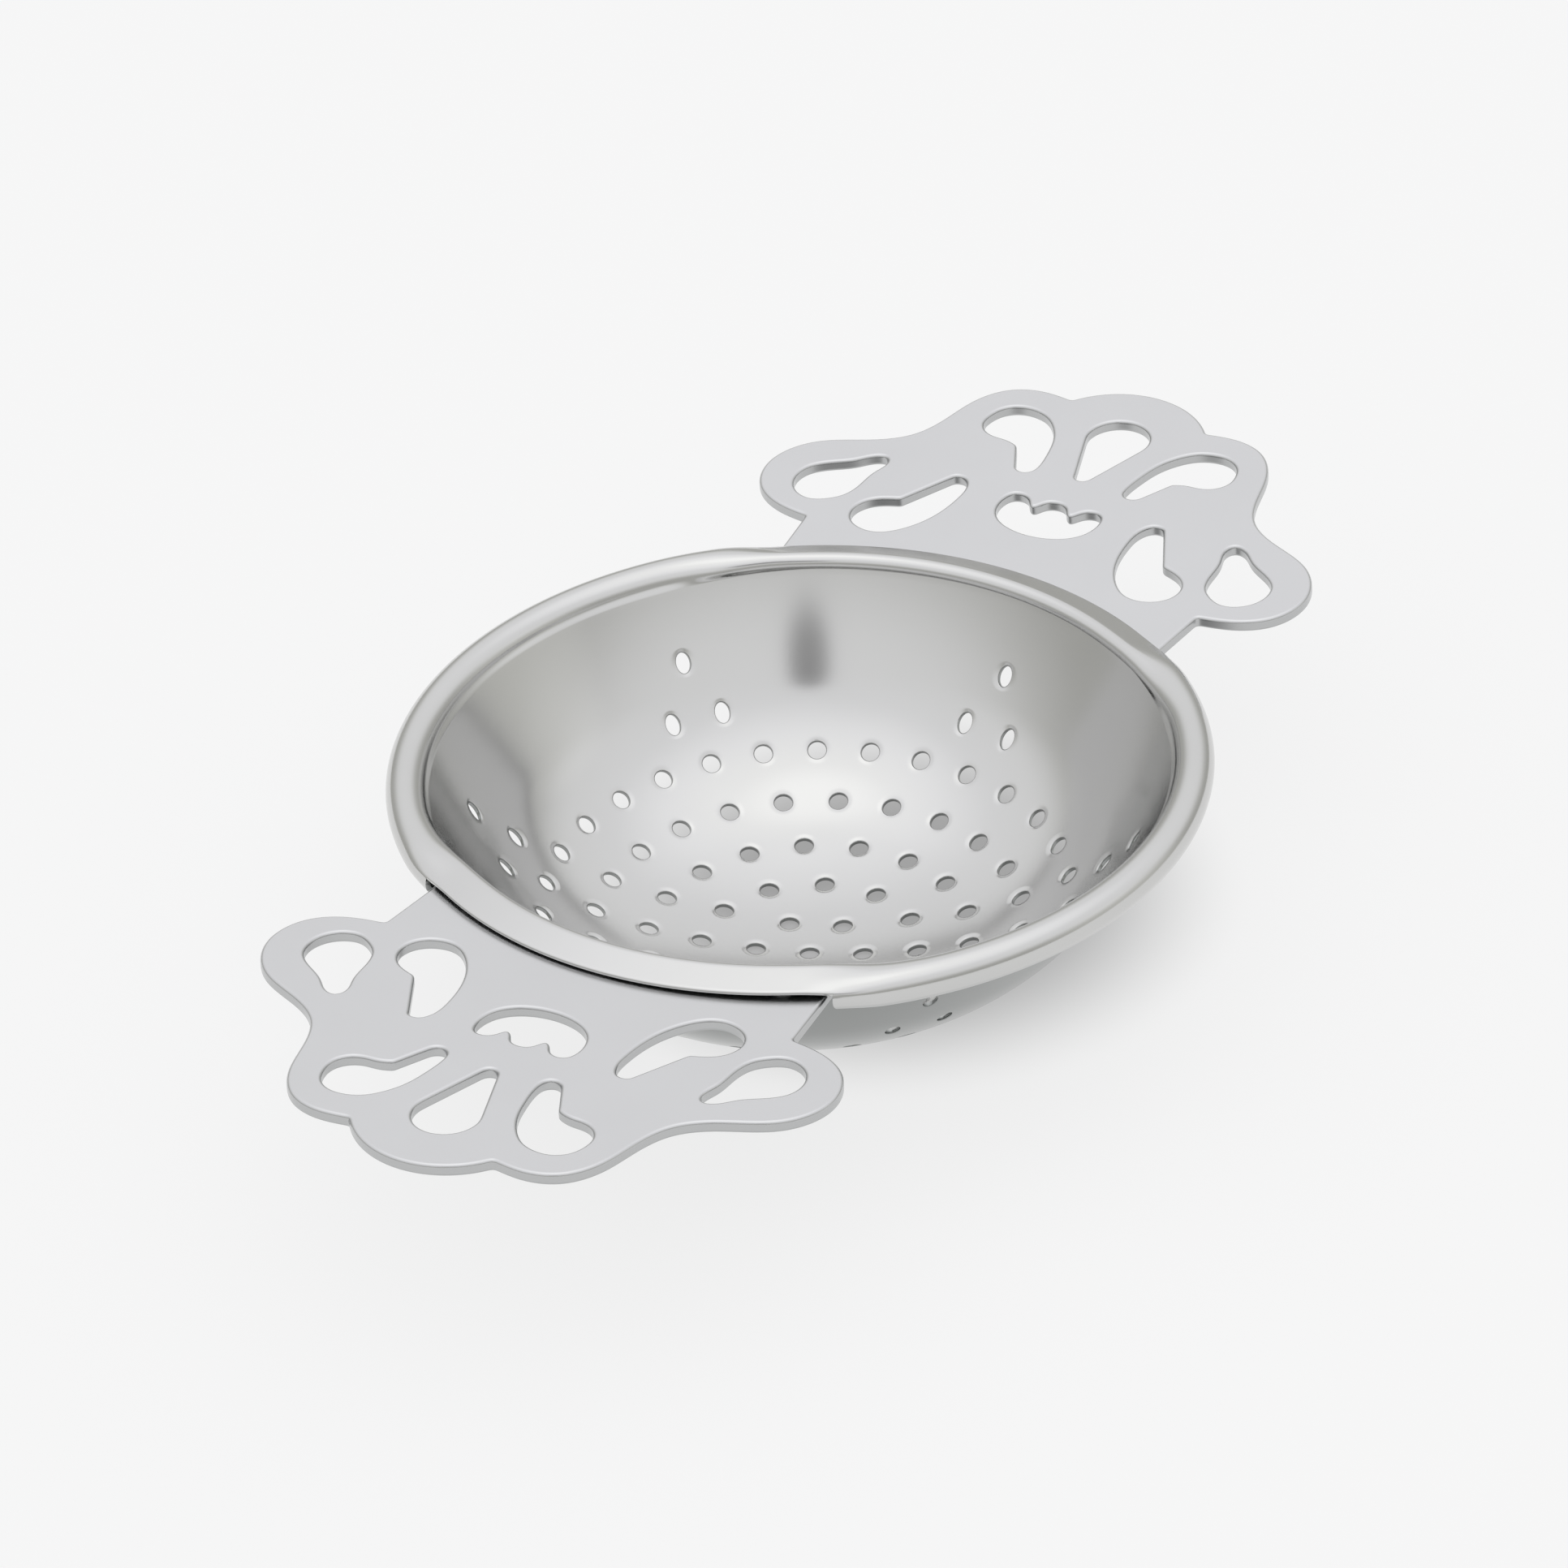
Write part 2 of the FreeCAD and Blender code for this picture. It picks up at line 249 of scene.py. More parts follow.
LENGTHS = np.linspace(0, ARC_LENGTHS[-1], LENGTH_SAMPLES)


def length_at(radius):
    """Length along the meridian at which the bowl has a radius."""
    return float(np.interp(radius, meridian(LENGTHS)[0], LENGTHS))


FIELD_LENGTH = length_at(PERFORATED_R)


def lift(flat):
    """Points and inward normals on the bowl for points of its flattened plan."""
    length = np.hypot(flat[..., 0], flat[..., 1])
    turn = np.arctan2(flat[..., 1], flat[..., 0])
    radius, height, slope = meridian(length)
    points = np.stack([radius * np.cos(turn), radius * np.sin(turn), height], -1)
    normals = np.stack([-np.sin(slope) * np.cos(turn), -np.sin(slope) * np.sin(turn), np.cos(slope)], -1)
    return points, normals


def hole_places():
    """Radius and direction of every perforation."""
    places = [(0.0, 0.0)]
    for number, radius in enumerate(RING_RADII, start=1):
        count = number * RING_STEP
        places += [(radius, PATTERN_TURN + 360 * index / count) for index in range(count)]
    for index in range(TRIANGLE_COUNT):
        tip = PATTERN_TURN + 360 * index / TRIANGLE_COUNT
        places += [(PAIR_RADIUS, tip - PAIR_SPREAD), (PAIR_RADIUS, tip + PAIR_SPREAD),
                   (APEX_RADIUS, tip)]
    return places


def hole_section():
    """Distance from a hole's centre and height above the inner surface, through the hole's edge."""
    dip_rows, round_rows, break_rows = HOLE_ROWS
    section = []
    for distance in np.linspace(HOLE_REACH, HOLE_RADIUS + HOLE_ROUND, dip_rows):
        share = (HOLE_REACH - distance) / (HOLE_REACH - HOLE_RADIUS - HOLE_ROUND)
        section.append((distance, -HOLE_DIP * share * share))
    for angle in np.linspace(0, math.pi / 2, round_rows)[1:]:
        section.append((HOLE_RADIUS + HOLE_ROUND * (1 - math.sin(angle)),
                        -HOLE_DIP - HOLE_ROUND * (1 - math.cos(angle))))
    for angle in np.linspace(0, math.pi / 2, break_rows):
        section.append((HOLE_RADIUS + HOLE_BREAK * (1 - math.cos(angle)),
                        -SHEET + HOLE_BREAK * (1 - math.sin(angle))))
    section.append((HOLE_REACH, -SHEET))
    return np.array(section)


def hole_frame(radius, degrees):
    """Where a hole lies in the flattened plan, how much that plan widens it, and its directions."""
    length = length_at(radius)
    stretch = length / radius if radius > 0 else 1.0
    turn = math.radians(degrees)
    outward = np.array([math.cos(turn), math.sin(turn)])
    sideways = np.array([-math.sin(turn), math.cos(turn)])
    return length, stretch, outward, sideways


def hole_plan(radius, degrees, distance):
    """Ring at a distance from a hole's centre, in the flattened plan."""
    length, stretch, outward, sideways = hole_frame(radius, degrees)
    drawn = float(eased(radius, *HOLE_DRAWN))
    near = min(1.0, (HOLE_REACH - distance) / (HOLE_REACH - HOLE_RADIUS - HOLE_ROUND))
    long, narrow = (1 + (factor - 1) * drawn * near for factor in (HOLE_LONG, HOLE_NARROW))
    around = np.linspace(0, 2 * math.pi, HOLE_SIDES, endpoint=False)
    return (outward * (length + distance * long * np.cos(around))[:, None]
            + sideways * (distance * narrow * stretch * np.sin(around))[:, None])


def add_holes(skin):
    """The drawn-in edge of every hole. Returns the outer ring of each in the flattened plan."""
    section = hole_section()
    rims = []
    for radius, degrees in hole_places():
        rings, ring_normals = [], []
        for distance, height in section:
            base, normal = lift(hole_plan(radius, degrees, distance))
            rings.append(base + normal * height)
            ring_normals.append(normal)
        points = np.array(rings)
        normals = grid_normals(points)
        normals[0] = ring_normals[0]
        normals[-1] = -ring_normals[-1]
        # Painted shade: none on the inside face and full on the outside one, with the change over the
        # middle rows of the edge.
        dull = np.linspace(-1, 2, len(points)).clip(0, 1)[:, None]
        skin.grid(points, normals, wrap=True, dull=dull)
        rims.append(hole_plan(radius, degrees, HOLE_REACH))
    return rims


def column_turn(nominal, radius):
    """Direction of a rim column at a radius: columns by a gap's edge run parallel to the handle."""
    quarter = np.floor(nominal / 90)
    within = nominal - 90 * quarter
    mirrored = quarter % 2 == 1
    within = np.where(mirrored, 90 - within, within)
    gap = np.degrees(np.arcsin(NOTCH_HALF / radius))
    in_gap = gap * within / NOTCH_TURN
    in_curl = gap + (90 - gap) * (within - NOTCH_TURN) / (90 - NOTCH_TURN)
    turn = np.where(within <= NOTCH_TURN, in_gap, in_curl)
    return np.radians(90 * quarter + np.where(mirrored, 90 - turn, turn))


def rim_columns():
    """Nominal directions of the rim's columns, once round."""
    quarter = np.concatenate([np.linspace(0, NOTCH_TURN, RIM_COLUMNS[0], endpoint=False),
                              np.linspace(NOTCH_TURN, 90, RIM_COLUMNS[1], endpoint=False)])
    return np.concatenate([quarter, [90.0], 180 - quarter[:0:-1],
                           180 + quarter, [270.0], 360 - quarter[:0:-1]])


def field_edge(columns):
    """The foot of the rim, in the flattened plan."""
    turn = column_turn(columns, PERFORATED_R)
    return FIELD_LENGTH * np.stack([np.cos(turn), np.sin(turn)], -1)


def add_field(skin, rims):
    """Both faces of the bowl between the holes, out to the foot of the rim."""
    edge = field_edge(rim_columns())
    free = []
    for ring, length in enumerate(np.arange(FIELD_STEP, FIELD_LENGTH - FIELD_STEP / 2, FIELD_STEP)):
        count = max(6, round(2 * math.pi * length / FIELD_STEP))
        turns = 2 * math.pi * (np.arange(count) + 0.5 * (ring % 2)) / count
        free.append(length * np.stack([np.cos(turns), np.sin(turns)], -1))
    free = np.vstack(free)
    free = free[~in_hole(free, FIELD_STEP / 2)]
    flat, faces = triangulated(rims + [edge], free)
    faces = faces[~in_hole(flat[faces].mean(1), 0)]
    points, normals = lift(flat)
    skin.patch(points, normals, faces)
    # The outer face carries the full painted shade.
    skin.patch(points - SHEET * normals, -normals, faces[:, ::-1], 1.0)


def in_hole(flat, margin):
    """Which points of the flattened plan lie within a margin of a drawn-in hole edge."""
    found = np.zeros(len(flat), bool)
    for radius, degrees in hole_places():
        length, stretch, outward, sideways = hole_frame(radius, degrees)
        offset = flat - length * outward
        away = np.hypot(offset @ outward / (HOLE_REACH + margin),
                        offset @ sideways / (HOLE_REACH * stretch + margin))
        found |= away < 1
    return found


def from_handle(nominal):
    """Nominal degrees from the nearer handle's middle."""
    return np.abs((np.asarray(nominal) + 90) % 180 - 90)


def oval(shape, degrees):
    """A point of an upright ellipse, by the angle round it."""
    angle = np.radians(degrees)
    return np.stack(np.broadcast_arrays(shape["r"] + shape["a"] * np.cos(angle),
                                        shape["z"] + shape["b"] * np.sin(angle)), -1)


def smooth_path(t, start, leaving, end, arriving):
    """The point at a share t of a cubic from start to end, with its direction at both ends."""
    return ((2 * t**3 - 3 * t**2 + 1) * start + (t**3 - 2 * t**2 + t) * leaving
            + (3 * t**2 - 2 * t**3) * end + (t**3 - t**2) * arriving)


def rim_sections(nominal):
    """The rim's outline at each column: points (r, z) from the wall over the top to the curl's end.
    Returns the arrays up to the lip's edge and beyond it."""
    within = from_handle(nominal)
    inner, outer = (eased(within, *flare)[:, None] for flare in (INNER_FLARE, OUTER_FLARE))
    curl_start = math.radians(LIP_CURL["start"])
    curl_shape = dict(LIP_CURL, r=LIP_EDGE[0] - LIP_CURL["a"] * math.cos(curl_start),
                      z=LIP_EDGE[1] - LIP_CURL["b"] * math.sin(curl_start))
    shoulder = oval(LIP, LIP["knuckle"])
    crown, curl = [], []
    for t in np.linspace(0, 1, CROWN_ROWS):
        if t < 0.5:
            lip = oval(LIP, LIP["start"] + (LIP["knuckle"] - LIP["start"]) * t * 2)
        else:
            lip = shoulder + (np.array(LIP_EDGE) - shoulder) * (t * 2 - 1)
        bead = oval(BEAD, BEAD["start"] + (BEAD["edge"] - BEAD["start"]) * t)
        crown.append(lip + (bead - lip) * (inner + (outer - inner) * t))
    for t in np.linspace(0, 1, CURL_ROWS):
        lip = oval(curl_shape, LIP_CURL["start"] + (LIP_CURL["end"] - LIP_CURL["start"]) * t)
        bead = oval(BEAD, BEAD["edge"] + (BEAD["end"] - BEAD["edge"]) * t)
        curl.append(lip + (bead - lip) * outer)
    joint, over = crown[0], unit(crown[1] - crown[0])
    bend_length = np.interp(joint[:, 1] - CREASE, meridian(LENGTHS)[1], LENGTHS)
    bend_r, bend_z, bend_slope = meridian(bend_length)
    bend = np.stack([bend_r, bend_z], -1)
    reach = np.linalg.norm(joint - bend, axis=-1)[:, None]
    up_wall = np.stack([np.cos(bend_slope), np.sin(bend_slope)], -1)
    top = []
    for t in np.linspace(0, 1, WALL_ROWS, endpoint=False):
        top.append(np.stack(meridian(FIELD_LENGTH * (1 - t) + bend_length * t)[:2], -1))
    for t in np.linspace(0, 1, CREASE_ROWS, endpoint=False):
        top.append(smooth_path(t, bend, reach * up_wall, joint, reach * over))
    return np.array(top + crown), np.array(curl)


def swept(section, nominal):
    """Points in space for sections (row, column, (r, z))."""
    turn = column_turn(np.asarray(nominal), section[..., 0])
    return np.stack([section[..., 0] * np.cos(turn), section[..., 0] * np.sin(turn), section[..., 1]], -1)


def edge_strip(face, back, outward):
    """A half-round edge from one face of the sheet to the other."""
    middle = (face + back) / 2
    half = (face - back) / 2
    size = np.linalg.norm(half, axis=-1)[..., None]
    rows, normals = [], []
    for angle in np.linspace(0, math.pi, EDGE_ROWS):
        normal = math.cos(angle) * half + math.sin(angle) * size * outward
        rows.append(middle + normal)
        normals.append(normal)
    return np.array(rows), np.array(normals)


def add_edge(skin, face, back, outward):
    """A half-round edge and the flat half-discs at its two ends."""
    strip, normals = edge_strip(face, back, outward)
    skin.grid(strip, normals, flip=True)
    fan = [(0, i, i + 1) for i in range(1, len(strip) - 1)]
    for side, inner in ((0, 1), (-1, -2)):
        end = unit(strip[:, side] - strip[:, inner])
        skin.patch(strip[:, side], end, fan if side else [corners[::-1] for corners in fan])


def add_rim(skin):
    """The lip and the bead, both faces, with rounded edges and cut ends by the handles."""
    columns = rim_columns()
    top, curl = rim_sections(columns)
    whole = swept(np.concatenate([top, curl[1:]]), columns)
    normals = -unit(grid_normals(whole))
    normals[0] = lift(field_edge(columns))[1]
    back = whole - SHEET * normals
    rows = len(top)
    # Painted shade on faces that look outwards, growing as they turn downwards; the back of the sheet
    # carries it in full.
    upward = normals[..., 2]
    outward = (normals[..., :2] * whole[..., :2]).sum(-1) > 0
    dull = np.where(outward, np.clip((PAINTED_SHADE_ABOVE - upward) / (PAINTED_SHADE_ABOVE - PAINTED_SHADE_BELOW), 0, 1), 0.0)
    skin.grid(whole[:rows], normals[:rows], wrap=True, flip=True, dull=dull[:rows])
    skin.grid(back[:rows], -normals[:rows], wrap=True, dull=1.0)

    # The lip's outer edge in each gap, and the curl between the gaps.
    half_gap = RIM_COLUMNS[0]
    total = len(columns)
    gap_edges = [(np.arange(-half_gap, half_gap + 1) + centre) % total for centre in (0, total // 2)]
    curls = [np.arange(half_gap, total // 2 - half_gap + 1),
             np.arange(total // 2 + half_gap, total - half_gap + 1) % total]
    along = unit(np.gradient(whole, axis=0))
    for picked in gap_edges:
        add_edge(skin, whole[rows - 1][picked], back[rows - 1][picked], along[rows - 1][picked])
    for picked in curls:
        faces = whole[rows - 1:][:, picked]
        backs = back[rows - 1:][:, picked]
        face_normals = normals[rows - 1:][:, picked]
        skin.grid(faces, face_normals, flip=True, dull=dull[rows - 1:][:, picked])
        skin.grid(backs, -face_normals, dull=1.0)
        add_edge(skin, faces[-1], backs[-1], along[-1][picked])
        for side, inner in ((0, 1), (-1, -2)):
            outward = unit(faces[:, side] - faces[:, inner])
            cut = np.stack([faces[:, side], backs[:, side]], 1)
            skin.grid(cut, np.repeat(outward[:, None], 2, axis=1), flip=side != 0)


def make_bowl():
    """The pressed sheet: the pierced bowl and its rim."""
    skin = Skin()
    add_field(skin, add_holes(skin))
    add_rim(skin)
    return skin.make("bowl_shell")


# ---------------------------------------------------------------- handles

def spline(knots, closed):
    """Points of a smooth curve through the knots, a step apart."""
    knots = np.array(knots, float)
    if closed:
        knots = np.vstack([knots, knots[:1]])
    chords = np.linalg.norm(np.diff(knots, axis=0), axis=1)
    count = len(knots)
    system = np.zeros((count, count))
    wanted = np.zeros((count, 2))
    slopes = np.diff(knots, axis=0) / chords[:, None]
    for i in range(1, count - 1):
        system[i, i - 1:i + 2] = chords[i], 2 * (chords[i - 1] + chords[i]), chords[i - 1]
        wanted[i] = 3 * (chords[i] * slopes[i - 1] + chords[i - 1] * slopes[i])
    if closed:
        system[0, 0], system[0, -1] = 1, -1
        system[-1, [0, 1, -2, -1]] = 2 * chords[-1], chords[-1], chords[0], 2 * chords[0]
        wanted[-1] = 3 * (chords[-1] * slopes[0] + chords[0] * slopes[-1])
    else:
        system[0, :2] = 2, 1
        wanted[0] = 3 * slopes[0]
        system[-1, -2:] = 1, 2
        wanted[-1] = 3 * slopes[-1]
    # Directions at the knots that keep the bend of the curve continuous.
    tangents = np.linalg.solve(system, wanted)
    points = []
    for i, chord in enumerate(chords):
        t = np.linspace(0, 1, max(2, round(chord / STEP)), endpoint=False)[:, None]
        points.append(smooth_path(t, knots[i], chord * tangents[i], knots[i + 1], chord * tangents[i + 1]))
    if not closed:
        points.append(knots[-1:])
    return np.vstack(points)


def arc(centre, radius, start, end):
    """Points of an arc between two angles, a step apart."""
    count = max(4, round(abs(end - start) * radius / STEP))
    angles = np.linspace(start, end, count)
    return np.array(centre) + radius * np.stack([np.cos(angles), np.sin(angles)], -1)


def straight(start, end):
    """Points of a line, a step apart."""
    count = max(2, round(math.dist(start, end) / STEP))
    return np.array(start) + np.linspace(0, 1, count)[:, None] * (np.array(end) - np.array(start))


def drop(body, body_radius, tail, tail_radius):
    """A closed loop round two circles and the lines that touch both."""
    along = math.atan2(tail[1] - body[1], tail[0] - body[0])
    spread = math.acos((body_radius - tail_radius) / math.dist(body, tail))
    big = arc(body, body_radius, along + spread, along + 2 * math.pi - spread)
    small = arc(tail, tail_radius, along - spread, along + spread)
    return np.vstack([big, straight(big[-1], small[0]), small, straight(small[-1], big[0])])


def other_side(points):
    """The points mirrored to the other side of the plate's middle, in the opposite order."""
    return [(u, -v) for u, v in reversed([tuple(p) for p in points])]


def softened(loop):
    """The loop at even steps, with its corners rounded."""
    closed = np.vstack([loop, loop[:1]])
    travelled = np.concatenate([[0], np.cumsum(np.linalg.norm(np.diff(closed, axis=0), axis=1))])
    count = round(travelled[-1] / STEP)
    at = np.linspace(0, travelled[-1], count, endpoint=False)
    even = np.stack([np.interp(at, travelled, closed[:, k]) for k in (0, 1)], -1)
    reach = np.arange(-SOFTENING_REACH, SOFTENING_REACH + 1)
    weights = np.exp(-0.5 * (reach / CORNER_SOFTENING) ** 2)
    weights /= weights.sum()
    return sum(w * np.roll(even, -k, axis=0) for w, k in zip(weights, reach))


def handle_outline():
    """The plate's outer edge: its hidden end, a side, the round tip and the other side."""
    end_u, end_v = SIDE_EDGE[0]
    inner_v = end_v - NECK_TAPER * (end_u - NECK_INNER_U)
    inner_turn = math.asin(inner_v / PLATE_INNER_R)
    side = spline(SIDE_EDGE, False)
    cusp = SIDE_EDGE[-1]
    rise = TIP_U - cusp[0]
    tip_radius = (rise**2 + cusp[1]**2) / (2 * rise)
    tip_turn = math.asin(cusp[1] / tip_radius)
    inner = arc((0, 0), PLATE_INNER_R, -inner_turn, inner_turn)
    return np.vstack([inner, straight(inner[-1], SIDE_EDGE[0]), side,
                      arc((TIP_U - tip_radius, 0), tip_radius, tip_turn, -tip_turn),
                      np.array(other_side(side)), straight((end_u, -end_v), inner[0])])


def handle_loops():
    """The outline, then the eight openings."""
    loops = [handle_outline(), drop(*CENTRE_DROP), spline(COMB + tuple(other_side(COMB)[1:-1]), True)]
    for side in (1, -1):
        loops.append(spline([(u, side * v) for u, v in SIDE_DROP], True))
        for kidney in (INNER_KIDNEY, OUTER_KIDNEY):
            knots = [(u, side * v) for u, v in kidney]
            loops.append(np.vstack([spline(knots, False), straight(knots[-1], knots[0])]))
    return [softened(loop) for loop in loops]


def runs_clockwise(loop):
    """Whether a closed loop runs clockwise, by the sign of its area."""
    following = np.roll(loop, -1, axis=0)
    return np.sum(loop[:, 0] * following[:, 1] - loop[:, 1] * following[:, 0]) < 0


def plate_edge(loop, normal):
    """Rows of points and normals round both edges of the plate, from its top face to its bottom one."""
    profile = [(angle, -PLATE_ROUND) for angle in np.linspace(90, 0, EDGE_ROWS)]
    profile += [(angle, -PLATE + PLATE_ROUND) for angle in np.linspace(0, -90, EDGE_ROWS)]
    rows, row_normals = [], []
    for angle, level in profile:
        c, s = math.cos(math.radians(angle)), math.sin(math.radians(angle))
        flat = loop - normal * PLATE_ROUND * (1 - c)
        rows.append(np.column_stack([flat, np.full(len(flat), level + PLATE_ROUND * s)]))
        row_normals.append(np.column_stack([normal * c, np.full(len(flat), s)]))
    return np.array(rows), np.array(row_normals)


def make_handle(name, side):
    """One pierced plate with rounded edges, on the +X side (side = 1) or the -X side."""
    skin = Skin()
    insets = []
    # Painted shade round each edge: none at the top face, part on the stamped side, full at the bottom;
    # the bottom face carries it in full.
    edge_painted_shade = np.interp(np.arange(2 * EDGE_ROWS), (0, EDGE_ROWS - 1, EDGE_ROWS, 2 * EDGE_ROWS - 1),
                          (0, CUT_PAINTED_SHADE, CUT_PAINTED_SHADE, 1))[:, None]
    for index, loop in enumerate(handle_loops()):
        outer = index == 0
        if runs_clockwise(loop):
            loop = loop[::-1]
        tangent = np.roll(loop, -1, axis=0) - np.roll(loop, 1, axis=0)
        normal = unit(np.stack([tangent[:, 1], -tangent[:, 0]], -1)) * (1 if outer else -1)
        rows, row_normals = plate_edge(loop, normal)
        skin.grid(rows, row_normals, wrap=True, flip=outer, dull=edge_painted_shade)
        insets.append(loop - normal * PLATE_ROUND)
    flat, faces = triangulated(insets, np.empty((0, 2)))
    middles = flat[faces].mean(1)
    metal = inside(middles, insets[0])
    for loop in insets[1:]:
        metal &= ~inside(middles, loop)
    faces = faces[metal]
    up = np.tile([0.0, 0.0, 1.0], (len(flat), 1))
    skin.patch(np.column_stack([flat, np.zeros(len(flat))]), up, faces)
    skin.patch(np.column_stack([flat, np.full(len(flat), -PLATE)]), -up, faces[:, ::-1], 1.0)
    turn = np.array(Matrix.Rotation(math.pi if side < 0 else 0, 3, "Z"))
    turn_tilt = turn @ np.array(Matrix.Rotation(-PLATE_SLOPE, 3, "Y"))
    pivot = np.array([PIVOT_U, 0, 0])
    for k, (points, normals) in enumerate(zip(skin.points, skin.normals)):
        skin.points[k] = (points - pivot) @ turn_tilt.T + turn @ pivot + [0, 0, PLATE_TOP_Z]
        skin.normals[k] = normals @ turn_tilt.T
    return skin.make(name)


# ---------------------------------------------------------------- welds

def make_welds(name, side):
    """Flattened beads of weld between the lip and the plate, and a small one at each end."""
    skin = Skin()
    turns = np.linspace(0, 2 * math.pi, BEAD_COLUMNS, endpoint=False)
    tilts = np.linspace(-math.pi / 2, math.pi / 2, BEAD_ROWS)[:, None]
    ball = np.stack([np.cos(tilts) * np.cos(turns), np.cos(tilts) * np.sin(turns),
                     np.sin(tilts) + 0 * turns], -1)
    for (radius, height), half_sizes, angles in WELDS:
        for degrees in angles:
            turn = math.radians(degrees + (180 if side < 0 else 0))
            spin = np.array(Matrix.Rotation(turn, 3, "Z"))
            centre = spin @ [radius, 0, height]
            skin.grid(ball * half_sizes @ spin.T + centre, ball / half_sizes @ spin.T, wrap=True)
    return skin.make(name)


# ---------------------------------------------------------------- materials

# Grain is the scale of the polishing marks and strength their bump; stretch draws them out.
BOWL_STEEL = dict(colour=(0.615, 0.615, 0.608), roughness=0.155, grain=2500.0, strength=0.04,
                  stretch=(1, 1, 1))
HANDLE_STEEL = dict(colour=(0.66, 0.662, 0.67), roughness=0.26, grain=2500.0, strength=0.12,
                    stretch=(1, 0.25, 1))
WELD_METAL = dict(colour=(0.55, 0.55, 0.54), roughness=0.35, grain=1500.0, strength=0.4,
                  stretch=(1, 1, 1))
# Painted shade: the darker base colour laid on the bowl's outside, the rim's outward undersides, the hole
# walls and the plates' undersides and edges.
PAINTED_SHADE_COLOUR = (0.285, 0.295, 0.289, 1)
CLOUD_SCALE, CLOUD_DETAIL = 90.0, 3.0
CLOUD_TONE, CLOUD_GLOSS = 0.03, 0.03     # how far the clouds change the colour and the roughness
GRAIN_DETAIL, GRAIN_DEPTH = 4.0, 0.00002


def steel(name, colour, roughness, grain, strength, stretch):
    """Stainless steel: faint clouds of tone and gloss, fine polishing marks, and a darker base colour
    where painted shade is set.
    """
    material = bpy.data.materials.new(name)
    material.use_nodes = True
    nodes, links = material.node_tree.nodes, material.node_tree.links
    shader = nodes["Principled BSDF"]
    shader.inputs["Metallic"].default_value = 1.0
    place = nodes.new("ShaderNodeTexCoord")
    clouds = nodes.new("ShaderNodeTexNoise")
    clouds.inputs["Scale"].default_value = CLOUD_SCALE
    clouds.inputs["Detail"].default_value = CLOUD_DETAIL
    links.new(place.outputs["Object"], clouds.inputs["Vector"])
    tone = nodes.new("ShaderNodeMixRGB")
    tone.inputs["Color1"].default_value = (*[c * (1 - CLOUD_TONE) for c in colour], 1)
    tone.inputs["Color2"].default_value = (*[c * (1 + CLOUD_TONE) for c in colour], 1)
    links.new(clouds.outputs["Fac"], tone.inputs["Fac"])
    # The painted shade attribute mixes the base colour towards the darker shade colour.
    dull = nodes.new("ShaderNodeAttribute")
    dull.attribute_name = "dull"
    shade_mix = nodes.new("ShaderNodeMixRGB")
    shade_mix.inputs["Color2"].default_value = PAINTED_SHADE_COLOUR
    links.new(dull.outputs["Fac"], shade_mix.inputs["Fac"])
    links.new(tone.outputs["Color"], shade_mix.inputs["Color1"])
    links.new(shade_mix.outputs["Color"], shader.inputs["Base Color"])
    gloss = nodes.new("ShaderNodeMapRange")
    gloss.inputs["To Min"].default_value = roughness - CLOUD_GLOSS
    gloss.inputs["To Max"].default_value = roughness + CLOUD_GLOSS
    links.new(clouds.outputs["Fac"], gloss.inputs["Value"])
    links.new(gloss.outputs["Result"], shader.inputs["Roughness"])
    mapping = nodes.new("ShaderNodeMapping")
    mapping.inputs["Scale"].default_value = stretch
    links.new(place.outputs["Object"], mapping.inputs["Vector"])
    marks = nodes.new("ShaderNodeTexNoise")
    marks.inputs["Scale"].default_value = grain
    marks.inputs["Detail"].default_value = GRAIN_DETAIL
    links.new(mapping.outputs["Vector"], marks.inputs["Vector"])
    bump = nodes.new("ShaderNodeBump")
    bump.inputs["Strength"].default_value = strength
    bump.inputs["Distance"].default_value = GRAIN_DEPTH
    links.new(marks.outputs["Fac"], bump.inputs["Height"])
    links.new(bump.outputs["Normal"], shader.inputs["Normal"])
    return material


# ---------------------------------------------------------------- the object

bowl = make_bowl()
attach(bowl, "root")
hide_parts("strainer_bowl")
bowl.data.materials.append(steel("bowl_satin", **BOWL_STEEL))

handle_finish = steel("handle_satin", **HANDLE_STEEL)
for node, side in (("right_handle", 1), ("left_handle", -1)):
    handle = make_handle(node + "_plate", side)
    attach(handle, "root")
    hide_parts(node)
    handle.data.materials.append(handle_finish)

weld_finish = steel("weld_bead", **WELD_METAL)
for node, side in (("right_weld_tacks", 1), ("left_weld_tacks", -1)):
    welds = make_welds(node.replace("tacks", "beads"), side)
    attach(welds, "root")
    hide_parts(node)
    welds.data.materials.append(weld_finish)

# ---------------------------------------------------------------- camera, floor and light

SENSOR = 36.0                # mm
LENS = 218.465               # mm
SHIFT = (-0.009886, -0.011941)
CLIP = (0.05, 20.0)          # metres
AZIMUTH, ELEVATION, ROLL = math.radians(-58.71), math.radians(33.27), math.radians(-3.09)
AIM_Z, DISTANCE = 0.0212, 0.86936     # the height it aims at above the origin, and how far off it is


